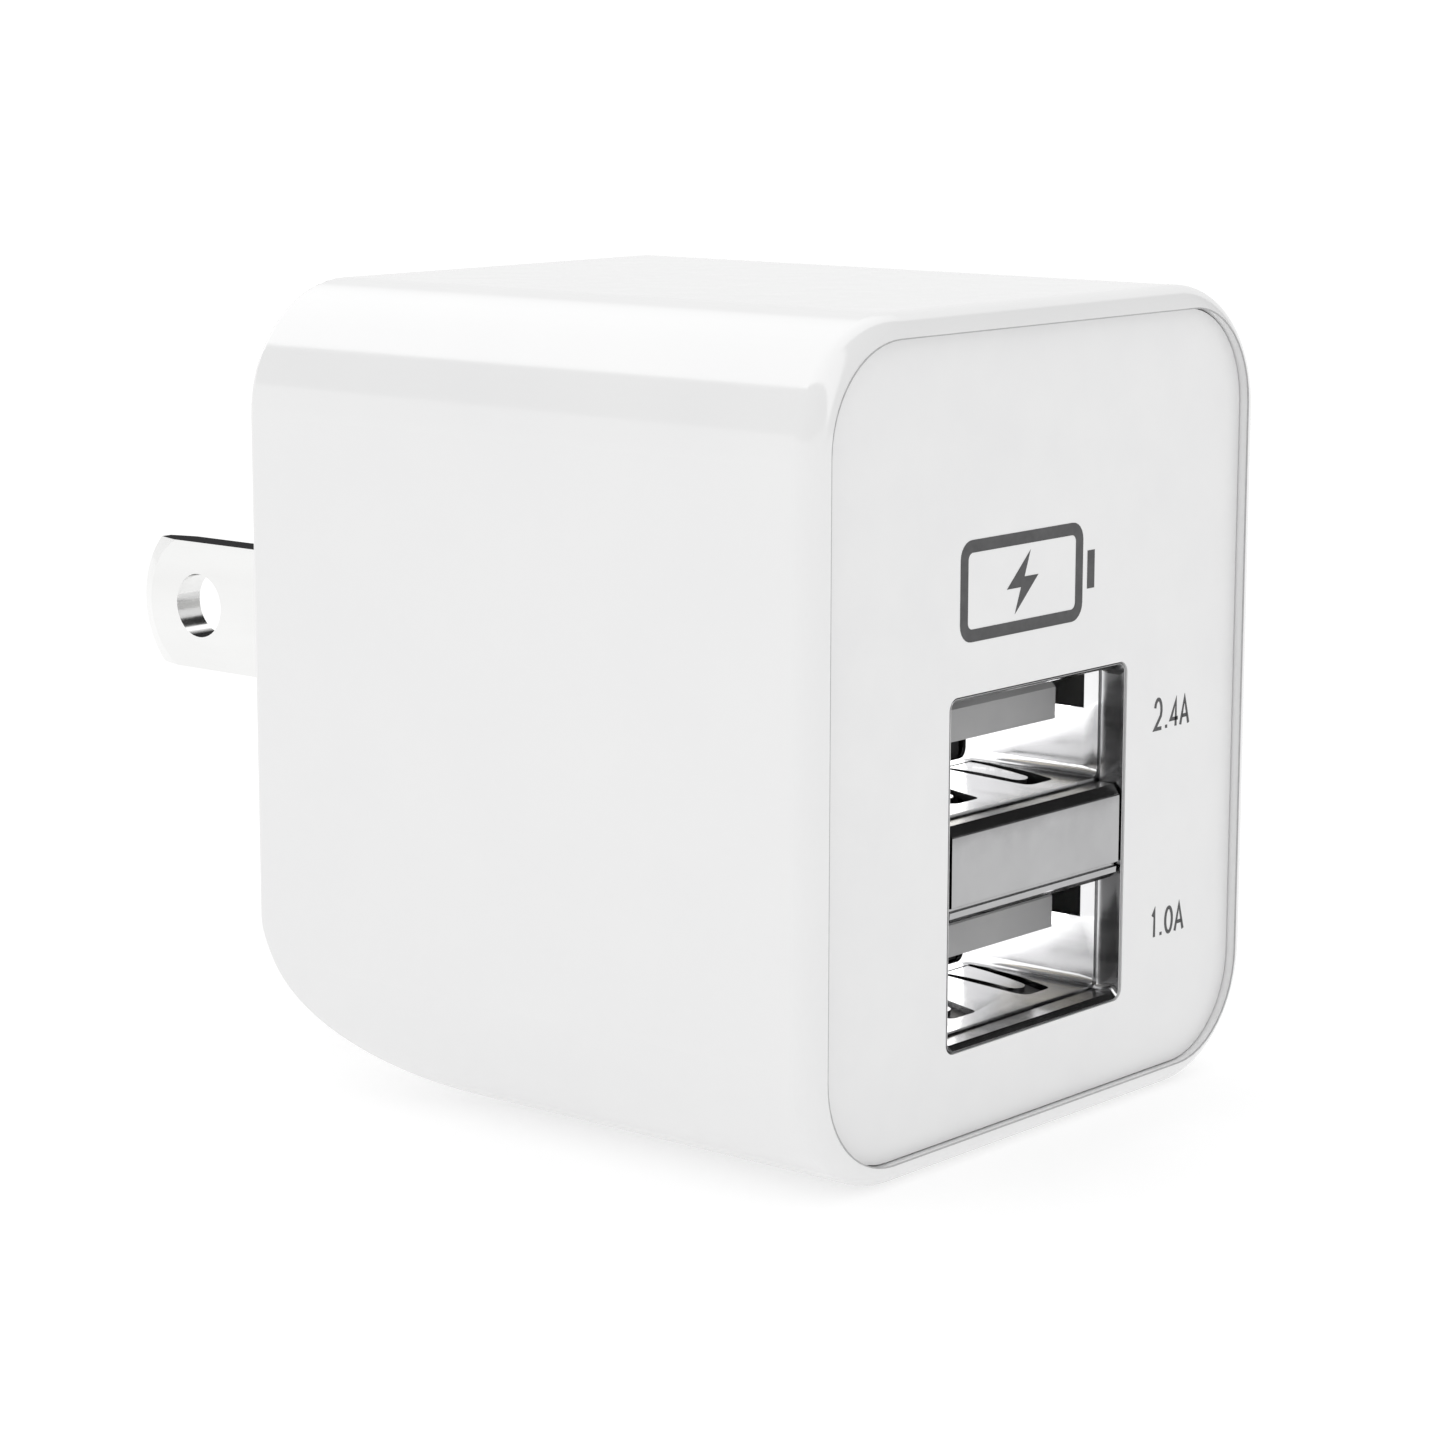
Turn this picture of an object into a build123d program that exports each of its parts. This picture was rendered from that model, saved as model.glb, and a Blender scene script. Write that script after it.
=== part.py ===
"""USB wall charger with a folding two-blade plug and two stacked USB-A ports.

Frame: the origin is the centre of the rear face, midway between the two blades.
+Y points out of the rear face to the wall socket, -Y is the front with the ports, +Z is up.
All lengths are in millimetres.
"""

import os
from math import sqrt

from build123d import *

os.makedirs("parts", exist_ok=True)

# Housing
BODY_W, BODY_H, BODY_D = 32.9, 37.1, 33.0
BODY_Z = -1.43          # middle of the housing, below the blade line
BODY_R = 5.95           # corner radius seen from the front
FRONT_FILLET = 1.2
BACK_FILLET = 0.4
GRIP_Y, GRIP_Z = 15.2, 9.4   # reach of the rounded lower rear edge
GRIP_DIP = 0.03         # the curve overshoots by this, to meet the flat faces in clean lines
WALL = 1.6
FRONT_Y = -BODY_D
RIM = 0.5               # rim proud of the front panel

# Front panel
SEAM_W, SEAM_H, SEAM_R = 30.85, 35.1, 4.6
SEAM_GAP = 0.07
PANEL_T = 1.5
PANEL_Y = FRONT_Y + RIM
LEDGE_Y = PANEL_Y + PANEL_T

# Stacked USB-A receptacle
PORT_W, PORT_H = 12.5, 5.12
PORT_PITCH = 9.71
PORT_TOP_Z = -2.40      # middle of the upper port
SHEET = 0.3
BEND_R = 0.2
USB_D = 14.0
USB_Y = PANEL_Y + 0.05
TONGUE_W, TONGUE_T = 11.1, 1.84
TONGUE_SET = 3.1        # tongue tip behind the mouth
TONGUE_DROP = 0.66      # gap over the tongue
SOCKET_D = 9.0          # mouth to the plastic block
PIN_X = (-3.5, -1.0, 1.0, 3.5)
OPENING_R = 0.55
FINGER_X = (-2.15, 3.75)
FINGER_W, FINGER_L, FINGER_CUT = 1.0, 5.6, 0.2

# Folding plug
BLADE_H, BLADE_T, BLADE_L = 6.35, 1.52, 18.2
BLADE_X = 6.35          # half of the 12.7 mm blade spacing
BLADE_HOLE_R, BLADE_HOLE_Y = 1.59, 13.8
TIP_BULGE = 1.3
PIVOT_Y, PIVOT_Z = -2.6, 1.1
HEEL_R = 2.6
CORE_R, TRUNNION_R, FIT = 1.2, 1.4, 0.05
TRUNNION_X = 10.5
SLOT_W = 2.3
WELL_Y = -7.2
CHAMBER_Y = -7.4
CHAMBER_X, RIB_X = 8.9, 10.7
CHAMBER_Z = (-4.6, 5.8)
SKIN = 1.0              # rear wall over the rotor
SCREW_X = 12.7

# Boards
BOARD_T = 1.2
OUT_Z = PORT_TOP_Z - PORT_PITCH - PORT_H / 2 - SHEET - 0.03   # top of the lower board
POW_Z = 13.0            # underside of the upper board
BOARD_BACK = -9.85


def block(x, y, z, mode=Mode.ADD):
    """A box between the given pairs of limits."""
    with Locations(((x[0] + x[1]) / 2, (y[0] + y[1]) / 2, (z[0] + z[1]) / 2)):
        Box(x[1] - x[0], y[1] - y[0], z[1] - z[0], mode=mode)


def rod_x(x, y, z, radius, mode=Mode.ADD):
    with Locations(((x[0] + x[1]) / 2, y, z)):
        Cylinder(radius, x[1] - x[0], rotation=(0, 90, 0), mode=mode)


def rod_y(x, y, z, radius, mode=Mode.ADD):
    with Locations((x, (y[0] + y[1]) / 2, z)):
        Cylinder(radius, y[1] - y[0], rotation=(90, 0, 0), mode=mode)


def rod_z(x, y, z, radius, mode=Mode.ADD):
    with Locations((x, y, (z[0] + z[1]) / 2)):
        Cylinder(radius, z[1] - z[0], mode=mode)


def body_block(inset, y_front, y_back):
    """The housing's envelope shrunk by inset, before its lower rear edge is rounded."""
    with BuildPart() as rounded_block:
        with BuildSketch(Plane.XZ.offset(-y_back)):
            with Locations((0, BODY_Z)):
                RectangleRounded(BODY_W - 2 * inset, BODY_H - 2 * inset, BODY_R - inset)
        extrude(amount=y_back - y_front)
    return rounded_block.part


def grip_cut(inset):
    """What the rounded lower rear edge takes away from an envelope shrunk by inset."""
    bottom = BODY_Z - BODY_H / 2
    with BuildPart() as cutter:
        with BuildSketch(Plane.YZ.offset(-BODY_W)):
            with Locations((-GRIP_Y / 2 + 1, bottom + GRIP_Z / 2 - 1)):
                Rectangle(GRIP_Y + 2, GRIP_Z + 2)
            with Locations((-GRIP_Y, bottom + GRIP_Z)):
                Ellipse(GRIP_Y + GRIP_DIP - inset, GRIP_Z + GRIP_DIP - inset, mode=Mode.SUBTRACT)
        extrude(amount=2 * BODY_W)
    return cutter.part


cavity = body_block(WALL, LEDGE_Y, -WALL) - grip_cut(WALL)

with BuildPart() as inner_walls:
    block((-RIB_X, RIB_X), (CHAMBER_Y, -SKIN), (CHAMBER_Z[0] - 0.9, CHAMBER_Z[1] + 0.9))
    for side in (-1, 1):
        rod_y(side * SCREW_X, (CHAMBER_Y, -SKIN), PIVOT_Z, 1.7)
        well = sorted((side * (BLADE_X - SLOT_W / 2 - 0.9), side * (BLADE_X + SLOT_W / 2 + 0.9)))
        block(well, (WELL_Y - 0.9, -SKIN), (BODY_Z - BODY_H / 2, CHAMBER_Z[0] - 0.9))
        for y in (-28.0, -13.0):
            block(sorted((side * 8.5, side * 9.5)), (y - 1, y + 1), (-21, OUT_Z - BOARD_T))
            block(sorted((side * 10.5, side * 11.5)), (y - 1, y + 1), (POW_Z + BOARD_T, 17))
    block((-CHAMBER_X, CHAMBER_X), (CHAMBER_Y - 1, -SKIN), CHAMBER_Z, Mode.SUBTRACT)
    add(body_block(WALL / 2, FRONT_Y, 0) - grip_cut(WALL / 2), mode=Mode.INTERSECT)

with BuildPart() as main_shell:
    add(body_block(0, FRONT_Y, 0))
    fillet(main_shell.edges().group_by(Axis.Y)[0], FRONT_FILLET)
    fillet(main_shell.edges().group_by(Axis.Y)[-1], BACK_FILLET)
    add(grip_cut(0), mode=Mode.SUBTRACT)
    add(cavity, mode=Mode.SUBTRACT)
    with BuildSketch(Plane.XZ.offset(-LEDGE_Y)):
        with Locations((0, BODY_Z)):
            RectangleRounded(SEAM_W, SEAM_H, SEAM_R)
    extrude(amount=LEDGE_Y - FRONT_Y, mode=Mode.SUBTRACT)
    add(inner_walls.part)
    # rotor chamber in the rear wall, blade slots that run out through the rounded edge
    block((-CHAMBER_X, CHAMBER_X), (-3, -SKIN), CHAMBER_Z, Mode.SUBTRACT)
    slot_top = PIVOT_Z + HEEL_R + 0.25
    for side in (-1, 1):
        slot = (side * BLADE_X - SLOT_W / 2, side * BLADE_X + SLOT_W / 2)
        block(slot, (WELL_Y, 1), (-22, slot_top), Mode.SUBTRACT)
        # open bearing for the trunnion
        bearing = sorted((side * (CHAMBER_X - 0.1), side * (RIB_X + 0.1)))
        rod_x(bearing, PIVOT_Y, PIVOT_Z, TRUNNION_R + FIT, Mode.SUBTRACT)
        block(bearing, (CHAMBER_Y - 1, PIVOT_Y),
              (PIVOT_Z - TRUNNION_R - FIT, PIVOT_Z + TRUNNION_R + FIT), Mode.SUBTRACT)
        rod_y(side * SCREW_X, (CHAMBER_Y - 1, -2.2), PIVOT_Z, 0.65, Mode.SUBTRACT)
        # recess for the panel's latch
        latch = sorted((side * (BODY_W / 2 - WALL - 0.2), side * (BODY_W / 2 - WALL + 0.45)))
        block(latch, (LEDGE_Y + 2.6, LEDGE_Y + 3.8), (-7.2, 5.2), Mode.SUBTRACT)
main_shell.part.label = "main_shell"

opening_low = PORT_TOP_Z - PORT_PITCH - PORT_H / 2 - SHEET - 0.18
opening_high = PORT_TOP_Z + PORT_H / 2 + SHEET + 0.06
opening_z = (opening_low + opening_high) / 2
opening_w, opening_h = PORT_W + 2 * SHEET + 0.22, opening_high - opening_low

with BuildPart() as front_panel:
    with BuildSketch(Plane.XZ.offset(-LEDGE_Y)):
        with Locations((0, BODY_Z)):
            RectangleRounded(SEAM_W - 2 * SEAM_GAP, SEAM_H - 2 * SEAM_GAP, SEAM_R - SEAM_GAP)
        with Locations((0, opening_z)):
            RectangleRounded(opening_w, opening_h, OPENING_R, mode=Mode.SUBTRACT)
    extrude(amount=PANEL_T)
    for side in (-1, 1):
        skirt = sorted((side * 13.4, side * 14.6))
        block(skirt, (LEDGE_Y, LEDGE_Y + 4.6), (-9, 7))
        nub = sorted((side * 14.5, side * 15.15))
        block(nub, (LEDGE_Y + 2.8, LEDGE_Y + 3.6), (-7, 5))
front_panel.part.label = "front_panel"

# Stamped shell of the receptacle: roof, sides and the floor of the lower port
usb_x = PORT_W / 2 + SHEET
usb_low = PORT_TOP_Z - PORT_PITCH - PORT_H / 2 - SHEET
usb_high = PORT_TOP_Z + PORT_H / 2 + SHEET
port_z = (PORT_TOP_Z, PORT_TOP_Z - PORT_PITCH)
leg_y = (USB_Y + 4.5, USB_Y + 11.5)


def cut_finger(x, z):
    """U-shaped slot that frees one spring finger, open end towards the rear."""
    half = FINGER_W / 2 + FINGER_CUT
    y = USB_Y + 2.6
    depth = (z - SHEET, z + SHEET)
    block((x - half, x + half), (y, y + FINGER_CUT), depth, Mode.SUBTRACT)
    for side in (-1, 1):
        arm = sorted((x + side * half, x + side * FINGER_W / 2))
        block(arm, (y, y + FINGER_L), depth, Mode.SUBTRACT)


with BuildPart() as usb_shell:
    with BuildSketch(Plane.XZ.offset(-USB_Y - USB_D)):
        with Locations((0, (usb_low + usb_high) / 2)):
            RectangleRounded(2 * usb_x, usb_high - usb_low, BEND_R + SHEET)
            RectangleRounded(PORT_W, usb_high - usb_low - 2 * SHEET, BEND_R, mode=Mode.SUBTRACT)
    extrude(amount=USB_D)
    for z in (usb_low + SHEET / 2, usb_high - SHEET / 2):
        for x in FINGER_X:
            cut_finger(x, z)
    # windows of the side springs
    for z in port_z:
        block((-usb_x - 1, usb_x + 1), (USB_Y + 2.1, USB_Y + 7.5), (z + 0.55, z + PORT_H / 2 - 0.2),
              Mode.SUBTRACT)
    for side in (-1, 1):
        for y in leg_y:
            leg = sorted((side * PORT_W / 2, side * usb_x))
            block(leg, (y - 0.6, y + 0.6), (OUT_Z - BOARD_T - 0.6, usb_low + 0.1))
usb_shell.part.label = "usb_shell"

# Folded divider: floor of the upper port, front web, roof of the lower port
floor_z = PORT_TOP_Z - PORT_H / 2
roof_z = PORT_TOP_Z - PORT_PITCH + PORT_H / 2
divider_x = PORT_W / 2 - 0.07
with BuildPart() as usb_divider:
    block((-divider_x, divider_x), (USB_Y, USB_Y + SOCKET_D), (floor_z - SHEET, floor_z))
    block((-divider_x, divider_x), (USB_Y, USB_Y + SOCKET_D), (roof_z, roof_z + SHEET))
    block((-divider_x, divider_x), (USB_Y, USB_Y + SHEET), (roof_z, floor_z))
    for z in (floor_z - SHEET / 2, roof_z + SHEET / 2):
        for x in FINGER_X:
            cut_finger(x, z)
usb_divider.part.label = "usb_divider"

with BuildPart() as usb_insulator:
    block((-PORT_W / 2 + 0.07, PORT_W / 2 - 0.07), (USB_Y + SOCKET_D, USB_Y + USB_D),
          (usb_low + SHEET + 0.07, usb_high - SHEET - 0.07))
    for z in port_z:
        low = z + PORT_H / 2 - TONGUE_DROP - TONGUE_T
        for x in PIN_X:
            block((x - 0.5, x + 0.5), (USB_Y, USB_Y + USB_D + 1), (low - 0.25, low), Mode.SUBTRACT)
usb_insulator.part.label = "usb_insulator"


def port_tongue(z):
    """Plastic tongue of one port, bevelled at its tip."""
    top = z + PORT_H / 2 - TONGUE_DROP
    with BuildPart() as tongue:
        block((-TONGUE_W / 2, TONGUE_W / 2), (USB_Y + TONGUE_SET, USB_Y + SOCKET_D), (top - TONGUE_T, top))
        chamfer(tongue.edges().filter_by(Axis.X).group_by(Axis.Y)[0].sort_by(Axis.Z)[-1], 0.4)
    return tongue.part


def port_contacts(z, tail_y):
    """Four contact strips under a tongue, with tails through the lower board."""
    low = z + PORT_H / 2 - TONGUE_DROP - TONGUE_T
    with BuildPart() as strips:
        for x in PIN_X:
            block((x - 0.5, x + 0.5), (USB_Y + TONGUE_SET + 0.5, tail_y + 0.25), (low - 0.25, low))
            block((x - 0.3, x + 0.3), (tail_y, tail_y + 0.25), (OUT_Z - BOARD_T - 0.6, low))
    return strips.part


port_tongue_upper = port_tongue(port_z[0])
port_tongue_upper.label = "port_tongue_upper"
port_tongue_lower = port_tongue(port_z[1])
port_tongue_lower.label = "port_tongue_lower"
tail_y = (USB_Y + USB_D + 1.2, USB_Y + USB_D + 0.3)
usb_contacts_upper = port_contacts(port_z[0], tail_y[0])
usb_contacts_upper.label = "usb_contacts_upper"
usb_contacts_lower = port_contacts(port_z[1], tail_y[1])
usb_contacts_lower.label = "usb_contacts_lower"

# Folding plug: rotor, two blades, bearing bracket, springs
peg_y, peg_z = PIVOT_Y - 0.6, PIVOT_Z - 2.2
blade_in, blade_out = BLADE_X - BLADE_T / 2, BLADE_X + BLADE_T / 2

with BuildPart() as blade_rotor:
    reach = 3.0
    with BuildSketch(Plane.YZ.offset(-blade_in)):
        with Locations((PIVOT_Y + TRUNNION_R, PIVOT_Z + TRUNNION_R)):
            Rectangle(reach + TRUNNION_R, reach + TRUNNION_R, align=(Align.MAX, Align.MAX))
    extrude(amount=2 * blade_in)
    long_edges = blade_rotor.edges().filter_by(Axis.X)
    fillet(long_edges, TRUNNION_R - 0.05)
    rod_x((-TRUNNION_X, TRUNNION_X), PIVOT_Y, PIVOT_Z, CORE_R)
    for side in (-1, 1):
        rod_x(sorted((side * blade_out, side * TRUNNION_X)), PIVOT_Y, PIVOT_Z, TRUNNION_R)
        rod_x(sorted((side * blade_in, side * blade_out)), peg_y, peg_z, 0.6)
blade_rotor.part.label = "blade_rotor"


def plug_blade(side):
    """Flat blade with a rounded tip, a hole near it, and a heel that is round about the pivot."""
    half = BLADE_H / 2
    top_y = PIVOT_Y - sqrt(HEEL_R**2 - (half - PIVOT_Z) ** 2)
    corner = 2.2
    heel_y = PIVOT_Y - HEEL_R
    with BuildPart() as blade:
        with BuildSketch(Plane.YZ.offset(side * BLADE_X - BLADE_T / 2)):
            with BuildLine():
                Line((top_y, half), (BLADE_L - TIP_BULGE, half))
                ThreePointArc((BLADE_L - TIP_BULGE, half), (BLADE_L, 0), (BLADE_L - TIP_BULGE, -half))
                Line((BLADE_L - TIP_BULGE, -half), (heel_y + corner, -half))
                RadiusArc((heel_y + corner, -half), (heel_y, -half + corner), corner)
                Line((heel_y, -half + corner), (heel_y, PIVOT_Z))
                RadiusArc((heel_y, PIVOT_Z), (top_y, half), HEEL_R)
            make_face()
        extrude(amount=BLADE_T)
        rim = blade.edges().group_by(Axis.Y)[-1]
        chamfer(rim, length=0.45, length2=0.9)
        across = (side * BLADE_X - BLADE_T, side * BLADE_X + BLADE_T)
        rod_x(across, BLADE_HOLE_Y, 0, BLADE_HOLE_R, Mode.SUBTRACT)
        rod_x(across, PIVOT_Y, PIVOT_Z, CORE_R, Mode.SUBTRACT)
        rod_x(across, peg_y, peg_z, 0.6, Mode.SUBTRACT)
    return blade.part


blade_left = plug_blade(-1)
blade_left.label = "blade_left"
blade_right = plug_blade(1)
blade_right.label = "blade_right"

spring_x = blade_out + 0.04
with BuildPart() as rotor_bracket:
    block((-14.4, 14.4), (CHAMBER_Y - 1, CHAMBER_Y), (PIVOT_Z - 2.4, PIVOT_Z + 2.4))
    block((-RIB_X, RIB_X), (CHAMBER_Y - 1, CHAMBER_Y), (CHAMBER_Z[0] - 0.85, CHAMBER_Z[1] + 0.9))
    for side in (-1, 1):
        block(sorted((side * (CHAMBER_X + 0.1), side * (RIB_X - 0.1))), (CHAMBER_Y, PIVOT_Y - 0.4),
              (PIVOT_Z - 1.35, PIVOT_Z + 1.35))
        rod_y(side * SCREW_X, (CHAMBER_Y - 2, CHAMBER_Y + 1), PIVOT_Z, 0.95, Mode.SUBTRACT)
        # slit for the contact spring
        block(sorted((side * (spring_x - 0.05), side * (spring_x + 0.35))), (CHAMBER_Y - 2, CHAMBER_Y + 0.1),
              (-1.5, 2.7), Mode.SUBTRACT)
    rod_x((-RIB_X, RIB_X), PIVOT_Y, PIVOT_Z, TRUNNION_R + FIT, Mode.SUBTRACT)
rotor_bracket.part.label = "rotor_bracket"

with BuildPart() as bracket_screws:
    for side in (-1, 1):
        rod_y(side * SCREW_X, (CHAMBER_Y - 1, -2.8), PIVOT_Z, 0.6)
        rod_y(side * SCREW_X, (CHAMBER_Y - 1.9, CHAMBER_Y - 1), PIVOT_Z, 1.5)
        for across, up in ((0.9, 0.15), (0.15, 0.9)):
            block((side * SCREW_X - across, side * SCREW_X + across), (CHAMBER_Y - 2, CHAMBER_Y - 1.5),
                  (PIVOT_Z - up, PIVOT_Z + up), Mode.SUBTRACT)
bracket_screws.part.label = "bracket_screws"


def contact_spring(side):
    """Leaf that presses on the blade's heel when the plug is out, with a soldering foot."""
    with BuildPart() as leaf:
        strip = sorted((side * spring_x, side * (spring_x + 0.3)))
        block(strip, (CHAMBER_Y - 1.3, PIVOT_Y - HEEL_R + 0.8), (-1.4, 2.6))
        block(sorted((side * spring_x, side * 10.2)), (CHAMBER_Y - 1.3, CHAMBER_Y - 1.0), (-1.4, 2.6))
    return leaf.part


contact_spring_left = contact_spring(-1)
contact_spring_left.label = "contact_spring_left"
contact_spring_right = contact_spring(1)
contact_spring_right.label = "contact_spring_right"

with BuildPart() as detent_spring:
    block((-3, 3), (CHAMBER_Y, CHAMBER_Y + 0.2), (PIVOT_Z - 4.5, PIVOT_Z + 3.5))
    rod_x((-3, 3), CHAMBER_Y + 0.2, PIVOT_Z, 0.3)
    block((-3.5, 3.5), (CHAMBER_Y - 0.9, CHAMBER_Y), (PIVOT_Z - 2, PIVOT_Z + 2), Mode.SUBTRACT)
detent_spring.part.label = "detent_spring"

# Lower board, with the receptacle and the output parts
OUT_CAP_X, OUT_CAP_Y, OUT_CAP_R = 10.2, -21.5, 3.15
LINK_X = (6.5, 8.5, 10.5, 12.5)
LINK_Y = -10.9

with BuildPart() as output_board:
    block((-13.3, 13.3), (LEDGE_Y + 0.3, BOARD_BACK), (OUT_Z - BOARD_T, OUT_Z))
    through = (OUT_Z - BOARD_T - 1, OUT_Z + 1)
    for row in tail_y:
        for x in PIN_X:
            rod_z(x, row + 0.125, through, 0.42, Mode.SUBTRACT)
    for side in (-1, 1):
        for y in leg_y:
            x = side * (PORT_W / 2 + SHEET / 2)
            block((x - 0.4, x + 0.4), (y - 0.8, y + 0.8), through, Mode.SUBTRACT)
        for y in (OUT_CAP_Y - 1.25, OUT_CAP_Y + 1.25):
            rod_z(side * OUT_CAP_X, y, through, 0.4, Mode.SUBTRACT)
    for x in LINK_X:
        rod_z(x, LINK_Y, through, 0.5, Mode.SUBTRACT)
output_board.part.label = "output_board"


def output_capacitor(side):
    """Upright electrolytic can with a crimp groove and two leads."""
    x, low, high = side * OUT_CAP_X, OUT_Z, OUT_Z + 9.0
    with BuildPart() as can:
        rod_z(x, OUT_CAP_Y, (low, high), OUT_CAP_R)
        fillet(can.edges().filter_by(GeomType.CIRCLE), 0.4)
        with BuildSketch(Plane.XZ.offset(-OUT_CAP_Y)):
            with Locations((x + OUT_CAP_R, low + 1.3)):
                Circle(0.3)
        revolve(axis=Axis((x, OUT_CAP_Y, 0), (0, 0, 1)), mode=Mode.SUBTRACT)
        for y in (OUT_CAP_Y - 1.25, OUT_CAP_Y + 1.25):
            rod_z(x, y, (OUT_Z - BOARD_T - 0.6, low + 0.5), 0.3)
    return can.part


output_capacitor_left = output_capacitor(-1)
output_capacitor_left.label = "output_capacitor_left"
output_capacitor_right = output_capacitor(1)
output_capacitor_right.label = "output_capacitor_right"


def flat_chip(x, y, z, size, legs, up=1):
    """Flat package with gull-wing legs along both long sides; up is -1 under a board."""
    length, width, height = size
    with BuildPart() as chip:
        body = sorted((z + up * 0.1, z + up * height))
        block((x - width / 2, x + width / 2), (y - length / 2, y + length / 2), body)
        pitch = length / legs
        for i in range(legs):
            leg_pos = y - length / 2 + pitch * (i + 0.5)
            for side in (-1, 1):
                edge = x + side * width / 2
                foot = sorted((edge - side * 0.1, edge + side * 0.8))
                block(foot, (leg_pos - 0.2, leg_pos + 0.2), sorted((z, z + up * 0.2)))
                shank = sorted((edge - side * 0.1, edge + side * 0.2))
                block(shank, (leg_pos - 0.2, leg_pos + 0.2), sorted((z, z + up * height * 0.6)))
    return chip.part


output_rectifier = flat_chip(-10.0, -13.2, OUT_Z, (4.9, 3.9, 1.5), 4)
output_rectifier.label = "output_rectifier"
port_controller = flat_chip(-1.8, -13.6, OUT_Z, (2.9, 1.6, 1.1), 3)
port_controller.label = "port_controller"

with BuildPart() as link_header:
    block((LINK_X[0] - 1, LINK_X[-1] + 0.8), (LINK_Y - 1, LINK_Y + 0.9), (OUT_Z, OUT_Z + 2.5))
    for x in LINK_X:
        block((x - 0.3, x + 0.3), (LINK_Y - 0.3, LINK_Y + 0.3), (OUT_Z - BOARD_T - 0.6, POW_Z + BOARD_T + 0.5))
link_header.part.label = "link_header"

# Upper board, with the mains side and the transformer hanging from it
CORE_X, CORE_Y = (-12.5, 3.5), (-22.3, -17.3)
core_mid_x, core_mid_y = sum(CORE_X) / 2, sum(CORE_Y) / 2
CORE_Z = (1.0, 12.8)
YOKE, CENTRE_LEG, SIDE_LEG = 2.2, 4.0, 2.3
core_split = sum(CORE_Z) / 2
IN_CAP_X, IN_CAP_R = 9.2, 2.9
IN_CAP_Z = (3.9, 9.9)
IN_CAP_Y = (-28.5, -14.0)
RAIL_Y = (core_mid_y - 7.2, core_mid_y + 7.2)
RAIL_PIN_X = (-8.5, -6.0, -3.0, -0.5)
FRONT_ROD_Y, FRONT_ROD_Z = -29.2, 10.6

with BuildPart() as power_board:
    block((-12.9, 12.9), (LEDGE_Y + 0.5, BOARD_BACK), (POW_Z, POW_Z + BOARD_T))
    through = (POW_Z - 1, POW_Z + BOARD_T + 1)
    for x in LINK_X:
        if x < 12:
            rod_z(x, LINK_Y, through, 0.5, Mode.SUBTRACT)
    block((12.0, 13.2), (LINK_Y - 0.5, LINK_Y + 0.5), through, Mode.SUBTRACT)
    for y in RAIL_Y:
        for x in RAIL_PIN_X:
            rod_z(x, y, through, 0.42, Mode.SUBTRACT)
    for x in (-10.6, -2.4, -1.2, 5.0):
        rod_z(x, FRONT_ROD_Y, through, 0.4, Mode.SUBTRACT)
power_board.part.label = "power_board"


def core_half(z_yoke, z_legs):
    """One E of the ferrite core: a yoke and three legs."""
    with BuildPart() as half:
        block(CORE_X, CORE_Y, sorted(z_yoke))
        legs = sorted(z_legs)
        block((CORE_X[0], CORE_X[0] + SIDE_LEG), CORE_Y, legs)
        block((CORE_X[1] - SIDE_LEG, CORE_X[1]), CORE_Y, legs)
        block((core_mid_x - CENTRE_LEG / 2, core_mid_x + CENTRE_LEG / 2), CORE_Y, legs)
    return half.part


transformer_core_upper = core_half((CORE_Z[1] - YOKE, CORE_Z[1]), (core_split, CORE_Z[1]))
transformer_core_upper.label = "transformer_core_upper"
transformer_core_lower = core_half((CORE_Z[0], CORE_Z[0] + YOKE), (CORE_Z[0], core_split))
transformer_core_lower.label = "transformer_core_lower"

leg_gap = 0.1
tube_x = CENTRE_LEG / 2 + leg_gap
tube_y = (CORE_Y[1] - CORE_Y[0]) / 2 + leg_gap
win_z = (CORE_Z[0] + YOKE + 0.1, CORE_Z[1] - YOKE - 0.1)
flange_x = (CORE_X[1] - CORE_X[0]) / 2 - SIDE_LEG - 0.1
with BuildPart() as transformer_bobbin:
    with Locations((core_mid_x, core_mid_y, sum(win_z) / 2)):
        Box(2 * tube_x + 1.2, 2 * tube_y + 1.2, win_z[1] - win_z[0])
    for z in (win_z[0] + 0.3, win_z[1] - 0.3):
        with Locations((core_mid_x, core_mid_y, z)):
            Box(2 * flange_x, 12.0, 0.6)
    for y in RAIL_Y:
        inner = core_mid_y + (5.9 if y > core_mid_y else -5.9)
        outer = y + (0.9 if y > core_mid_y else -0.9)
        block((core_mid_x - 5.2, core_mid_x + 5.2), sorted((inner, outer)), (win_z[1] - 0.6, POW_Z))
        for x in RAIL_PIN_X:
            rod_z(x, y, (POW_Z - 1, POW_Z + BOARD_T + 0.6), 0.3)
    with Locations((core_mid_x, core_mid_y, sum(win_z) / 2)):
        Box(2 * tube_x, 2 * tube_y, 20, mode=Mode.SUBTRACT)
transformer_bobbin.part.label = "transformer_bobbin"

with BuildPart() as transformer_winding:
    with BuildSketch(Plane.XY.offset(win_z[0] + 0.6)):
        with Locations((core_mid_x, core_mid_y)):
            RectangleRounded(2 * flange_x - 0.3, 11.2, 2.5)
            Rectangle(2 * tube_x + 1.2, 2 * tube_y + 1.2, mode=Mode.SUBTRACT)
    extrude(amount=win_z[1] - win_z[0] - 1.2)
transformer_winding.part.label = "transformer_winding"


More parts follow.
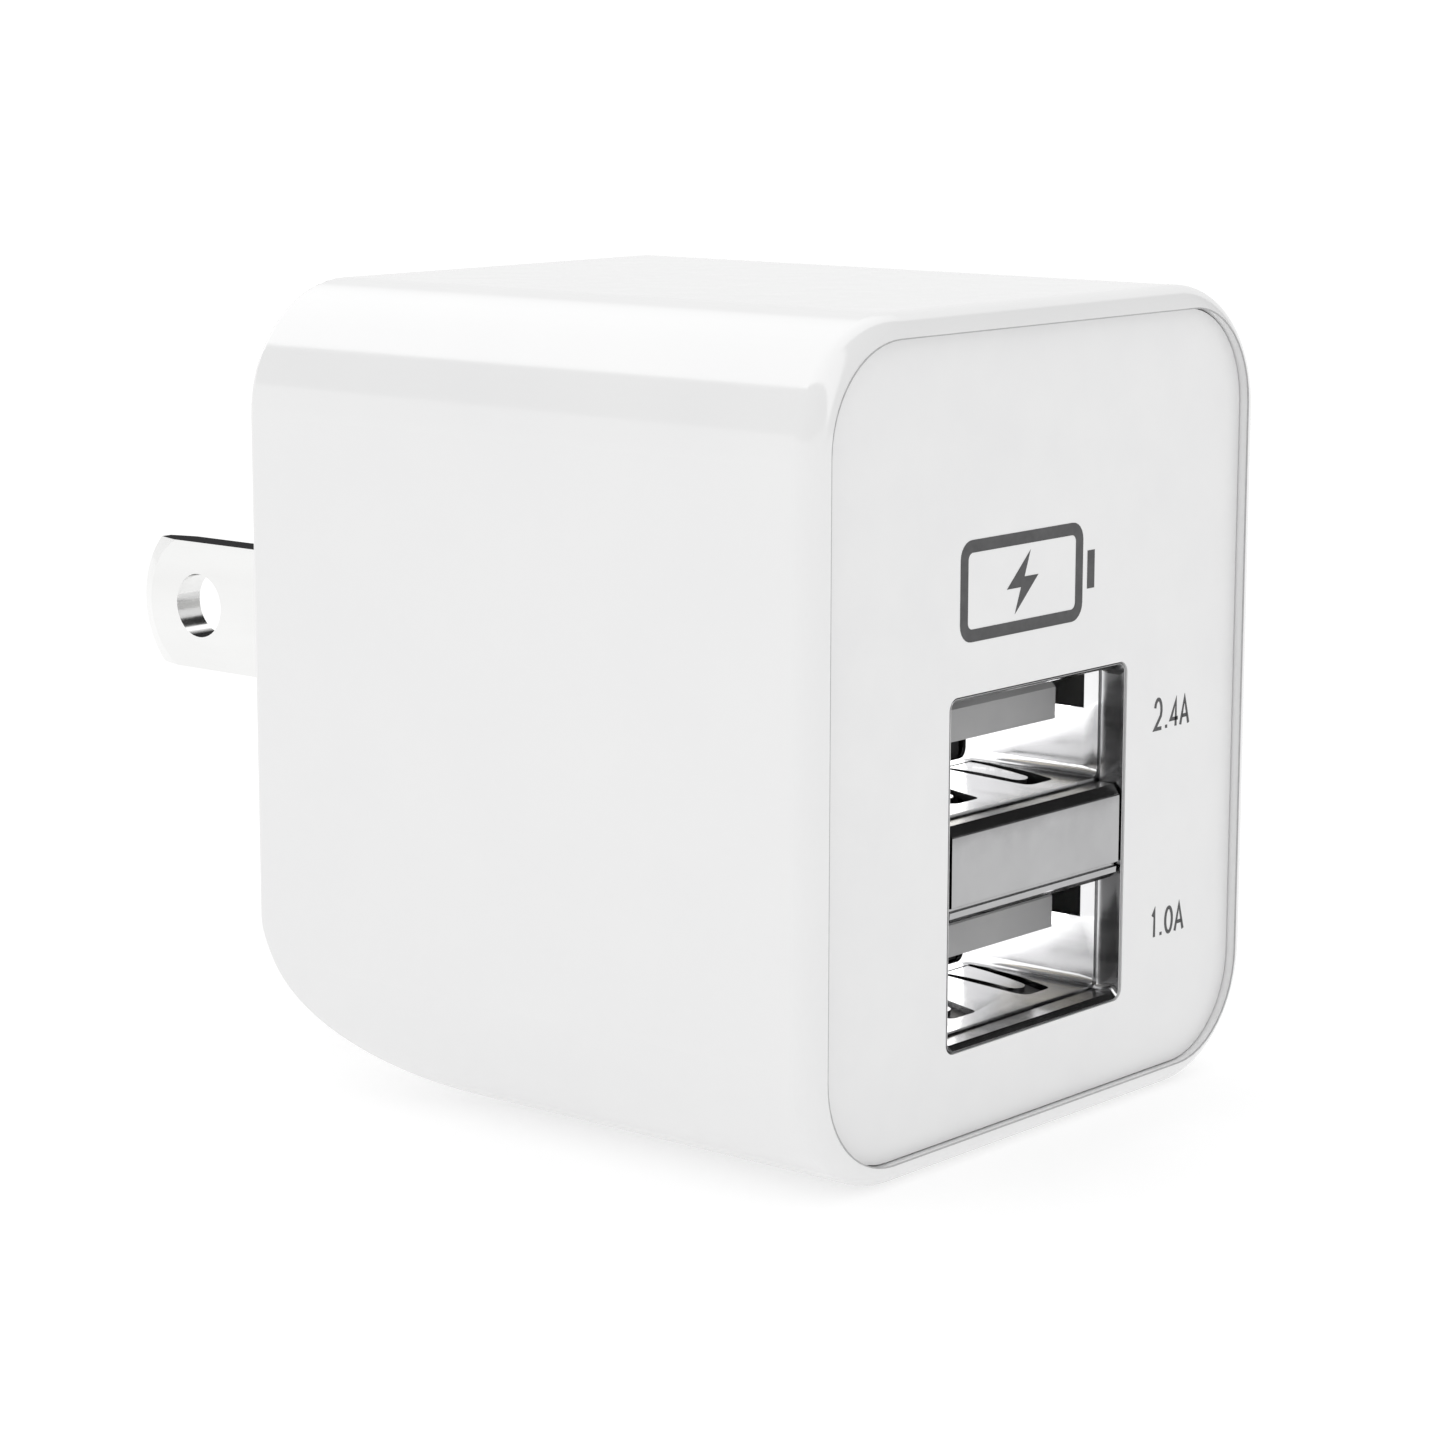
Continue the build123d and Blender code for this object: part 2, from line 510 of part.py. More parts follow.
def input_capacitor(z):
    """Electrolytic can lying along Y, with two leads bent up to the board."""
    with BuildPart() as can:
        rod_y(IN_CAP_X, IN_CAP_Y, z, IN_CAP_R)
        fillet(can.edges().filter_by(GeomType.CIRCLE), 0.4)
        with BuildSketch(Plane.XY.offset(z)):
            with Locations((IN_CAP_X + IN_CAP_R, IN_CAP_Y[1] - 1.3)):
                Circle(0.3)
        revolve(axis=Axis((IN_CAP_X, 0, z), (0, 1, 0)), mode=Mode.SUBTRACT)
        out = IN_CAP_Y[1] + (0.9 if z > 7 else 1.8)
        for x in (IN_CAP_X - 1.0, IN_CAP_X + 1.0):
            block((x - 0.25, x + 0.25), (IN_CAP_Y[1] - 0.5, out), (z - 0.25, z + 0.25))
            block((x - 0.25, x + 0.25), (out - 0.5, out), (z - 0.25, POW_Z))
    return can.part


input_capacitor_upper = input_capacitor(IN_CAP_Z[1])
input_capacitor_upper.label = "input_capacitor_upper"
input_capacitor_lower = input_capacitor(IN_CAP_Z[0])
input_capacitor_lower.label = "input_capacitor_lower"

with BuildPart() as safety_capacitor:
    rod_y(core_mid_x, (-12.05, -10.15), 6.4, 3.3)
    fillet(safety_capacitor.edges().filter_by(GeomType.CIRCLE), 0.7)
    for side in (-1, 1):
        x = core_mid_x + side * 2.0
        block((x - 0.25, x + 0.25), (-11.35, -10.85), (8.0, POW_Z))
safety_capacitor.part.label = "safety_capacitor"


def axial_part(ends, radius, body):
    """Axial component along X under the front of the upper board."""
    with BuildPart() as part:
        rod_x(body, FRONT_ROD_Y, FRONT_ROD_Z, radius)
        fillet(part.edges().filter_by(GeomType.CIRCLE), 0.4)
        for x in ends:
            rod_z(x, FRONT_ROD_Y, (FRONT_ROD_Z - 0.25, POW_Z + BOARD_T + 0.5), 0.25)
        rod_x(ends, FRONT_ROD_Y, FRONT_ROD_Z, 0.25)
    return part.part


fusible_resistor = axial_part((-10.6, -2.4), 1.3, (-9.8, -3.2))
fusible_resistor.label = "fusible_resistor"
input_inductor = axial_part((-1.2, 5.0), 1.25, (-0.5, 4.3))
input_inductor.label = "input_inductor"

bridge_rectifier = flat_chip(3.6, -12.3, POW_Z, (4.0, 2.6, 2.3), 2, up=-1)
bridge_rectifier.label = "bridge_rectifier"
controller_chip = flat_chip(-11.3, -12.8, POW_Z, (4.8, 1.2, 1.1), 4, up=-1)
controller_chip.label = "controller_chip"

SHEET_Y = (-9.8, -9.68)
with BuildPart() as insulation_sheet:
    block((-13.2, 13.2), SHEET_Y, (OUT_Z + 0.3, POW_Z + 0.4))
    fillet(insulation_sheet.edges().filter_by(Axis.Y), 1.5)
insulation_sheet.part.label = "insulation_sheet"


def input_lead(side):
    """Insulated wire from the contact spring's foot up and over to the board."""
    x, y, r = side * 9.5, CHAMBER_Y - 1.3 - 0.42, 0.4
    top = POW_Z + BOARD_T + 0.42
    with BuildPart() as wire:
        with BuildLine() as path:
            FilletPolyline((x, y, 0.4), (x, y, top), (x, y - 2.6, top), radius=0.9)
        with BuildSketch(Plane((x, y, 0.4))):
            Circle(r)
        sweep(path=path.line)
    return wire.part


input_lead_left = input_lead(-1)
input_lead_left.label = "input_lead_left"
input_lead_right = input_lead(1)
input_lead_right.label = "input_lead_right"

built = [
    main_shell.part, front_panel.part, usb_shell.part, usb_divider.part, usb_insulator.part,
    port_tongue_upper, port_tongue_lower, usb_contacts_upper, usb_contacts_lower,
    blade_rotor.part, blade_left, blade_right, rotor_bracket.part, bracket_screws.part,
    contact_spring_left, contact_spring_right, detent_spring.part,
    output_board.part, output_capacitor_left, output_capacitor_right, output_rectifier,
    port_controller, link_header.part, power_board.part,
    transformer_core_upper, transformer_core_lower, transformer_bobbin.part,
    transformer_winding.part, input_capacitor_upper, input_capacitor_lower,
    safety_capacitor.part, fusible_resistor, input_inductor, bridge_rectifier, controller_chip,
    insulation_sheet.part, input_lead_left, input_lead_right,
]
for piece in built:
    export_step(piece, f"parts/{piece.label}.step")
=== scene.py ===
"""Looks of the USB wall charger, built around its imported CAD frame.

Everything is in metres in the row frame: the origin is the middle of the rear face between the
blades, +Y points to the wall socket, -Y is the front with the ports and +Z is up.
"""

from math import cos, pi, radians, sin

import bmesh
import bpy
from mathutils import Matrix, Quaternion, Vector


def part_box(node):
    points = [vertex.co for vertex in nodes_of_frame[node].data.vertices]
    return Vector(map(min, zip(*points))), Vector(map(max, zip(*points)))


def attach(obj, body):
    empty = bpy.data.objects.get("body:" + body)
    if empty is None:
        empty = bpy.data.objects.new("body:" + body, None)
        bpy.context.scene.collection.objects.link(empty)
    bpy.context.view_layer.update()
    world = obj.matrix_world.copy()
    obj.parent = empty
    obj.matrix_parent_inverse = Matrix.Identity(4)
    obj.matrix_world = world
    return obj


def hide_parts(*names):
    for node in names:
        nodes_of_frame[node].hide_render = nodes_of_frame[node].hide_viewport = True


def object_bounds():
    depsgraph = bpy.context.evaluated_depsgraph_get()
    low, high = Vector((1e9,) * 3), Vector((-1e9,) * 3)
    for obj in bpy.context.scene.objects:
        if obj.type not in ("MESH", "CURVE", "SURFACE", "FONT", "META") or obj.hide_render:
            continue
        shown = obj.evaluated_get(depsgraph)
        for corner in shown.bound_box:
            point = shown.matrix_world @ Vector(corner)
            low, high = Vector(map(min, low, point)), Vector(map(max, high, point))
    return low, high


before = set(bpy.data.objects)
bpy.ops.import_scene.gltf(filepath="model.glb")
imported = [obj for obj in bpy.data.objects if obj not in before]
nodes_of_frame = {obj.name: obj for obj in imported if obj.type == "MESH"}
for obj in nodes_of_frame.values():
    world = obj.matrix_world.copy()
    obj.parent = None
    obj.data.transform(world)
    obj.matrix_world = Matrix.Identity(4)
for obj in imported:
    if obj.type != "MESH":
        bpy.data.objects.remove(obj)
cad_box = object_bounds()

MM = 0.001
# The imported plain materials give way to the finishes below, which take their names.
slot_of = {name: node.material_slots[0].material.name for name, node in nodes_of_frame.items()}
for plain in list(bpy.data.materials):
    bpy.data.materials.remove(plain)


# ---------------------------------------------------------------- materials

def new_material(name, settings):
    """A Principled material with the given socket values, and its node tree."""
    mat = bpy.data.materials.new(name)
    mat.use_nodes = True
    shader = mat.node_tree.nodes["Principled BSDF"]
    for socket, value in settings.items():
        shader.inputs[socket].default_value = value
    return mat, shader


def add_node(mat, kind, inputs=None, **options):
    """A new node of mat, or of the world, with its inputs linked or set."""
    node = mat.node_tree.nodes.new(kind)
    for key, value in options.items():
        setattr(node, key, value)
    for key, value in (inputs or {}).items():
        socket = node.inputs[key]
        if isinstance(value, bpy.types.NodeSocket):
            mat.node_tree.links.new(value, socket)
        else:
            socket.default_value = value
    return node


def grain(mat, size_mm, stretch=(1, 1, 1), detail=3.0):
    """Noise in the object's own space; size_mm is the size of its features, stretch lengthens them."""
    place = add_node(mat, "ShaderNodeTexCoord")
    scale = [1 / (s * size_mm * MM) for s in stretch]
    scaled = add_node(mat, "ShaderNodeMapping", {"Vector": place.outputs["Object"], "Scale": scale})
    noise = add_node(mat, "ShaderNodeTexNoise", {"Vector": scaled.outputs["Vector"], "Scale": 1.0,
                                                 "Detail": detail, "Roughness": 0.55})
    return noise.outputs["Fac"]


def remap(mat, value, low, high, source=(0.3, 0.7)):
    """Maps value from the range source, by default that of a noise, to low and high, and clamps it."""
    node = add_node(mat, "ShaderNodeMapRange", {"Value": value, "From Min": source[0],
                                                "From Max": source[1], "To Min": low, "To Max": high})
    return node.outputs["Result"]


def blend_colours(mat, factor, first, second):
    node = add_node(mat, "ShaderNodeMix", data_type="RGBA")
    mat.node_tree.links.new(factor, node.inputs["Factor"])
    for socket, colour in ((node.inputs["A"], first), (node.inputs["B"], second)):
        if isinstance(colour, bpy.types.NodeSocket):
            mat.node_tree.links.new(colour, socket)
        else:
            socket.default_value = (*colour, 1.0)
    return node.outputs["Result"]


def edge_mask(mat, radius_mm):
    """1 along convex and concave edges, 0 on open faces, broken up by fine noise."""
    rounded = add_node(mat, "ShaderNodeBevel", {"Radius": radius_mm * MM}, samples=4)
    true = add_node(mat, "ShaderNodeNewGeometry")
    dot = add_node(mat, "ShaderNodeVectorMath", operation="DOT_PRODUCT")
    mat.node_tree.links.new(rounded.outputs["Normal"], dot.inputs[0])
    mat.node_tree.links.new(true.outputs["Normal"], dot.inputs[1])
    edge = remap(mat, dot.outputs["Value"], 1.0, 0.0, (0.75, 0.98))
    worn = remap(mat, grain(mat, 0.5), 0.0, 1.0, (0.4, 0.6))
    product = add_node(mat, "ShaderNodeMath", operation="MULTIPLY")
    mat.node_tree.links.new(edge, product.inputs[0])
    mat.node_tree.links.new(worn, product.inputs[1])
    return product.outputs["Value"]


def finish(name, light, dark, size_mm, rough, relief_mm, stretch=(1, 1, 1), wear=None,
           settings=None, painted_edge_reflection=None):
    """The usual surface: broad colour variation, fine roughness variation and a fine relief.

    wear is (edge radius in mm, colour of the worn edge, roughness there). The last argument is for a
    stamped and plated part: the colour of its cut edges, which face up and down, where their dull
    colour is darkened near black as a painted dark reflection.
    """
    mat, shader = new_material(name, settings or {})
    fine = grain(mat, size_mm, stretch)
    colour = blend_colours(mat, remap(mat, grain(mat, 9 * size_mm, stretch), 0.0, 1.0), light, dark)
    roughness = remap(mat, grain(mat, 3 * size_mm, stretch), rough[0], rough[1])
    if wear:
        radius, worn_colour, worn_rough = wear
        mask = edge_mask(mat, radius)
        colour = blend_colours(mat, mask, colour, worn_colour)
        mixed = add_node(mat, "ShaderNodeMix", data_type="FLOAT")
        mat.node_tree.links.new(mask, mixed.inputs[0])
        mat.node_tree.links.new(roughness, mixed.inputs[2])
        mixed.inputs[3].default_value = worn_rough
        roughness = mixed.outputs[0]
    # cut edges that face up and down take the near-black colour: a painted dark reflection
    if painted_edge_reflection:
        surface = add_node(mat, "ShaderNodeTexCoord")
        facing = add_node(mat, "ShaderNodeSeparateXYZ", {"Vector": surface.outputs["Normal"]})
        upright = add_node(mat, "ShaderNodeMath", {0: facing.outputs["Z"]}, operation="ABSOLUTE")
        cut = remap(mat, upright.outputs[0], 0.0, 1.0, (0.85, 0.95))
        colour = blend_colours(mat, cut, colour, painted_edge_reflection)
        mat.node_tree.links.new(remap(mat, cut, 1.0, 0.0, (0.0, 1.0)), shader.inputs["Metallic"])
    bump = add_node(mat, "ShaderNodeBump", {"Height": fine, "Distance": relief_mm * MM, "Strength": 1.0})
    mat.node_tree.links.new(colour, shader.inputs["Base Color"])
    mat.node_tree.links.new(roughness, shader.inputs["Roughness"])
    mat.node_tree.links.new(bump.outputs["Normal"], shader.inputs["Normal"])
    return mat


METAL = {"Metallic": 1.0}
GLOSS = finish("white_gloss", (0.812, 0.812, 0.812), (0.800, 0.800, 0.802), 0.9, (0.10, 0.15), 0.0012,
               wear=(0.25, (0.84, 0.84, 0.84), 0.22),
               settings={"Coat Weight": 0.15, "Coat Roughness": 0.05})
PANEL = finish("panel_white", (0.815, 0.815, 0.815), (0.795, 0.795, 0.798), 0.35, (0.30, 0.38), 0.0015,
               wear=(0.12, (0.84, 0.84, 0.84), 0.3))
INK = finish("printed_ink", (0.060, 0.060, 0.062), (0.078, 0.078, 0.080), 0.12, (0.45, 0.6), 0.0015)
TIN = finish("tin_steel", (0.45, 0.45, 0.455), (0.40, 0.40, 0.405), 0.35, (0.10, 0.20), 0.0004,
             stretch=(1, 4, 1), wear=(0.06, (0.60, 0.60, 0.60), 0.12), settings=METAL)
# Only the blades' cut edges, which aren't metallic here, would show the specular level.
# The blades' cut edges facing up and down are painted near black, a painted dark reflection.
NICKEL = finish("nickel_blade", (0.86, 0.86, 0.855), (0.81, 0.81, 0.803), 0.4, (0.10, 0.22), 0.0006,
                stretch=(1, 5, 1), settings={"Specular IOR Level": 0.0}, painted_edge_reflection=(0.035, 0.035, 0.036))
ZINC = finish("zinc_steel", (0.66, 0.67, 0.70), (0.50, 0.52, 0.56), 0.3, (0.25, 0.42), 0.001,
              settings=METAL)
BRONZE = finish("spring_bronze", (0.72, 0.45, 0.24), (0.55, 0.33, 0.17), 0.3, (0.22, 0.36), 0.0008,
                stretch=(1, 4, 1), settings=METAL)
GOLD = finish("contact_gold", (0.74, 0.69, 0.58), (0.65, 0.60, 0.49), 0.25, (0.14, 0.28), 0.0005,
              stretch=(1, 4, 1), settings=METAL)
BLACK = finish("black_plastic", (0.018, 0.018, 0.019), (0.032, 0.032, 0.034), 0.2, (0.42, 0.58), 0.003,
               wear=(0.08, (0.07, 0.07, 0.07), 0.4))
GREY = finish("grey_plastic", (0.42, 0.42, 0.42), (0.385, 0.385, 0.39), 0.3, (0.34, 0.46), 0.0015,
              wear=(0.06, (0.48, 0.48, 0.48), 0.35))
BOBBIN = finish("bobbin_black", (0.022, 0.021, 0.02), (0.04, 0.038, 0.036), 0.3, (0.5, 0.65), 0.003)
FERRITE = finish("ferrite", (0.045, 0.043, 0.042), (0.09, 0.085, 0.08), 0.15, (0.55, 0.75), 0.006,
                 wear=(0.12, (0.16, 0.15, 0.15), 0.6))
CERAMIC = finish("ceramic_blue", (0.03, 0.12, 0.36), (0.02, 0.08, 0.27), 0.4, (0.16, 0.3), 0.004)
WIRE = finish("wire_red", (0.50, 0.02, 0.015), (0.40, 0.012, 0.01), 0.3, (0.3, 0.42), 0.003)
PAPER = finish("paper_grey", (0.44, 0.43, 0.39), (0.33, 0.32, 0.29), 0.12, (0.6, 0.8), 0.004,
               stretch=(3, 1, 1))


def banded_finish(name, light, dark, band_colour, axis, period_mm, share, rough, relief_mm):
    """A surface with bands across one axis, such as the turns of tape or a resistor's rings."""
    mat, shader = new_material(name, {})
    place = add_node(mat, "ShaderNodeTexCoord")
    split = add_node(mat, "ShaderNodeSeparateXYZ", {"Vector": place.outputs["Object"]})
    turns = add_node(mat, "ShaderNodeMath", {0: split.outputs[axis], 1: 1 / (period_mm * MM)},
                     operation="MULTIPLY")
    saw = add_node(mat, "ShaderNodeMath", {0: turns.outputs[0]}, operation="FRACT")
    band = add_node(mat, "ShaderNodeMath", {0: saw.outputs[0], 1: share}, operation="LESS_THAN")
    ground = blend_colours(mat, remap(mat, grain(mat, 2.0), 0.0, 1.0), light, dark)
    colour = blend_colours(mat, band.outputs[0], ground, band_colour)
    bump = add_node(mat, "ShaderNodeBump", {"Height": band.outputs[0], "Distance": relief_mm * MM})
    mat.node_tree.links.new(colour, shader.inputs["Base Color"])
    mat.node_tree.links.new(remap(mat, grain(mat, 0.6), *rough), shader.inputs["Roughness"])
    mat.node_tree.links.new(bump.outputs["Normal"], shader.inputs["Normal"])
    return mat


TAPE = banded_finish("tape_yellow", (0.86, 0.62, 0.07), (0.72, 0.50, 0.05), (0.60, 0.40, 0.04),
                     "Z", 2.2, 0.06, (0.22, 0.38), 0.02)
SLEEVE = banded_finish("can_sleeve", (0.020, 0.022, 0.030), (0.032, 0.034, 0.045), (0.45, 0.46, 0.47),
                       "X", 9.0, 0.10, (0.18, 0.3), 0.0)
RESISTOR = banded_finish("resistor_green", (0.10, 0.26, 0.14), (0.07, 0.20, 0.10), (0.25, 0.10, 0.04),
                         "X", 1.6, 0.28, (0.3, 0.45), 0.01)


def board_finish():
    """Green solder mask over faint copper tracks, with the glass weave just showing."""
    mat, shader = new_material("board_green", {"Coat Weight": 0.3, "Coat Roughness": 0.15})
    track_spacing = 2.6 * MM
    place = add_node(mat, "ShaderNodeTexCoord")
    cells = add_node(mat, "ShaderNodeTexVoronoi",
                     {"Vector": place.outputs["Object"], "Scale": 1 / track_spacing},
                     distance="MANHATTAN", feature="F1")
    tracks = remap(mat, cells.outputs["Distance"], 1.0, 0.0, (0.42, 0.46))
    clouds = remap(mat, grain(mat, 1.5), 0.0, 1.0)
    mask = blend_colours(mat, clouds, (0.012, 0.11, 0.045), (0.008, 0.08, 0.03))
    colour = blend_colours(mat, tracks, mask, (0.03, 0.19, 0.07))
    bump = add_node(mat, "ShaderNodeBump", {"Height": tracks, "Distance": 0.03 * MM})
    mat.node_tree.links.new(colour, shader.inputs["Base Color"])
    fibres = grain(mat, 0.3, (4, 1, 1))
    mat.node_tree.links.new(remap(mat, fibres, 0.3, 0.45), shader.inputs["Roughness"])
    mat.node_tree.links.new(bump.outputs["Normal"], shader.inputs["Normal"])
    return mat


BOARD = board_finish()

# Each CAD node takes the finish of its material slot in the record.
SLOT_FINISH = {mat.name: mat for mat in (GLOSS, PANEL, TIN, NICKEL, ZINC, BRONZE, GOLD, BLACK, GREY,
                                         BOBBIN, FERRITE, CERAMIC, WIRE, PAPER, TAPE, SLEEVE, RESISTOR,
                                         BOARD)}
for name, node in nodes_of_frame.items():
    node.material_slots[0].material = SLOT_FINISH[slot_of[name]]


# ---------------------------------------------------------------- mesh helpers

def make_piece(name, bm, material, smooth_deg=35):
    """A mesh object from bm, riding on the charger body."""
    bmesh.ops.recalc_face_normals(bm, faces=bm.faces)
    mesh = bpy.data.meshes.new(name)
    bm.to_mesh(mesh)
    bm.free()
    mesh.materials.append(material)
    piece = bpy.data.objects.new(name, mesh)
    bpy.context.scene.collection.objects.link(piece)
    mesh.shade_smooth()
    mesh.set_sharp_from_angle(angle=radians(smooth_deg))
    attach(piece, "charger")
    return piece


def loft(bm, rings, closed=False):
    """Skins rings of points, given in mm. The ends are capped, or joined to each other if closed."""
    made = [[bm.verts.new(Vector(p) * MM) for p in ring] for ring in rings]
    pairs = list(zip(made, made[1:]))
    if closed:
        pairs.append((made[-1], made[0]))
    else:
        bm.faces.new(made[0])
        bm.faces.new(reversed(made[-1]))
    for first, second in pairs:
        for i in range(len(first)):
            j = (i + 1) % len(first)
            bm.faces.new((first[i], second[i], second[j], first[j]))


def arc(centre, radius, start_deg, end_deg, steps):
    """Points of an arc in a plane, as pairs."""
    turn = [radians(start_deg + (end_deg - start_deg) * i / steps) for i in range(steps + 1)]
    return [(centre[0] + radius * cos(a), centre[1] + radius * sin(a)) for a in turn]


def rounded_rectangle(half_width, low, high, radius, steps=6):
    """Outline in the XZ plane, as (x, z) pairs."""
    right, left = half_width - radius, radius - half_width
    corners = ((right, high - radius, 0), (left, high - radius, 90),
               (left, low + radius, 180), (right, low + radius, 270))
    outline = []
    for x, z, start in corners:
        outline += arc((x, z), radius, start, start + 90, steps)
    return outline


def subtract(piece, cutters):
    """Cuts the closed meshes of cutters out of piece and applies the result."""
    mesh = bpy.data.meshes.new("cutter")
    bmesh.ops.recalc_face_normals(cutters, faces=cutters.faces)
    cutters.to_mesh(mesh)
    cutters.free()
    cutter = bpy.data.objects.new("cutter", mesh)
    bpy.context.scene.collection.objects.link(cutter)
    cut = piece.modifiers.new("cut", "BOOLEAN")
    cut.operation, cut.object, cut.solver = "DIFFERENCE", cutter, "EXACT"
    evaluated = piece.evaluated_get(bpy.context.evaluated_depsgraph_get())
    result = bpy.data.meshes.new_from_object(evaluated)
    piece.modifiers.remove(cut)
    old = piece.data
    piece.data = result
    bpy.data.meshes.remove(old)
    bpy.data.objects.remove(cutter)
    bpy.data.meshes.remove(mesh)


def block(bm, x, y, z):
    """A closed box between pairs of limits in mm."""
    ring = [(x[0], y[0]), (x[1], y[0]), (x[1], y[1]), (x[0], y[1])]
    loft(bm, [[(a, b, level) for a, b in ring] for level in z])


# ---------------------------------------------------------------- receptacle

def limits(name):
    """Low and high corners of a CAD node in mm."""
    low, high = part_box(name)
    return low / MM, high / MM


shell_low, shell_high = limits("usb_shell")
divider_low, divider_high = limits("usb_divider")
tongue_low, tongue_high = limits("port_tongue_upper")
panel_low, panel_high = limits("front_panel")

SHEET, SIDE_SHEET = 0.3, 0.2     # thickness of the metal above and below, and at the sides
LEG = 1.83                      # how far the legs reach below the shell's floor
MOUTH_Y = shell_low.y
wall_x = shell_high.x - SIDE_SHEET
roof_z = shell_high.z - SHEET
floor_z = (divider_high.z, shell_low.z + LEG + SHEET)     # floors of the upper and lower port
PORT_H = roof_z - floor_z[0]
SOCKET_D = divider_high.y - MOUTH_Y
TONGUE_SET = tongue_low.y - MOUTH_Y

# Spring fingers skew outwards: the finger's middle and half width at its tip and root, and the
# outline of the slot round it, as x and depth behind the mouth
FINGER_TIP, FINGER_ROOT = (4.02, 3.6, 0.48), (4.85, 8.0, 0.95)
FINGER_T, FINGER_SUNK, FINGER_ARCH = 0.26, 0.04, 0.05    # its thickness, how low it starts, its rise
SLOT_LEFT = ((3.5, 8.0), (2.86, 3.4))
SLOT_RIGHT = ((5.46, 4.65), (6.1, 8.0))
SLOT_FRONT = ((3.25, 4.4), 2.5, 0.42)           # middles of the front corners, their front, their radius
SECOND_FINGER = -5.65                           # how far the second finger stands from the first

# Radius of a port's lower inner corners, as depth behind the mouth and radius
CORNER = ((1.32, 0.35), (2.1, 0.45), (8.9, 0.45))

# A side window's depths behind the mouth and its heights over the middle of its port, and the
# middles of the legs behind the mouth
WINDOW_DEPTH, WINDOW_HEIGHT = (2.08, 7.5), (0.55, 2.3)
LEG_DEPTHS, LEG_HALF = (4.5, 11.5), 0.6

# The inside of the mouth from the rear to the front, a pressed groove and then a flared lip: the
# depth behind the mouth and how far the side walls, the floor and the roof stand back there
MOUTH_PROFILE = (
    (14.0, 0.0, 0.0, 0.0), (1.30, 0.0, 0.0, 0.0), (1.28, 0.18, 0.18, 0.10), (1.13, 0.18, 0.20, 0.10),
    (1.11, 0.0, 0.12, 0.0), (0.78, 0.0, 0.13, 0.0), (0.24, 0.12, 0.14, 0.10), (0.03, 0.13, 0.37, 0.24),
    (0.0, 0.13, 0.39, 0.26),
)
# Its outside from the front to the rear: the depth, how far the sides and the top stand out there,
# and how far the floor does
OUTER_PROFILE = (
    (0.0, -0.02, 0.09),
    (0.04, 0.0, 0.10),
    (0.6, 0.0, 0.03),
    (1.0, 0.0, 0.0),
    (14.0, 0.0, 0.0),
)
OUTER_R = 0.5


def finger(bm, shift, floor, up=1):
    """Tapered spring finger, its free end towards the mouth and a hair below the floor."""
    steps, round_end, least_half, anchored = 14, 0.42, 0.06, 0.4
    (tip_x, tip_y, tip_half), (root_x, root_y, root_half) = FINGER_TIP, FINGER_ROOT
    length = root_y + anchored - tip_y
    rings = []
    for i in range(steps + 1):
        from_tip = length * (i / steps) ** 1.6
        along = from_tip / length
        half = tip_half + (root_half - tip_half) * along
        if from_tip < round_end:
            half = max(least_half, half * (1 - (1 - from_tip / round_end) ** 2) ** 0.5)
        middle = tip_x + (root_x - tip_x) * along + shift
        rise = FINGER_ARCH * sin(pi * along) - FINGER_SUNK
        top, low = floor + up * rise, floor + up * (rise - FINGER_T)
        y = MOUTH_Y + tip_y + from_tip
        rings.append([(middle - half, y, top), (middle + half, y, top),
                      (middle + half, y, low), (middle - half, y, low)])
    loft(bm, rings)


def finger_slot(bm, shift, floor):
    """The opening that a finger springs in, rounded at its front end."""
    (left, right), front, corner = SLOT_FRONT
    reach = 0.6                 # how far the cutter goes past the middle of the sheet
    outline = list(SLOT_LEFT)
    outline += arc((left, front + corner), corner, 180, 270, 5)
    outline += arc((right, front + corner), corner, 270, 340, 5)
    outline += list(SLOT_RIGHT)
    levels = (floor - reach, floor + reach)
    loft(bm, [[(a + shift, MOUTH_Y + b, level) for a, b in outline] for level in levels])


def corner_bead(bm, floor, side):
    """Formed inner corner where a port's floor turns up into its side wall."""
    # it stays clear of the wall and the floor by these, so that no faces coincide
    side_clear, clear, steps = 0.015, 0.004, 12
    edge, rings = wall_x - side_clear, []
    for depth, radius in CORNER:
        profile = arc((edge - radius, floor + radius), radius, -90, 0, steps)
        profile += [(edge, floor + clear), (edge - radius, floor + clear)]
        profile[0] = (profile[0][0], floor + 1.5 * clear)
        rings.append([(side * x, MOUTH_Y + depth, z) for x, z in profile])
    loft(bm, rings)


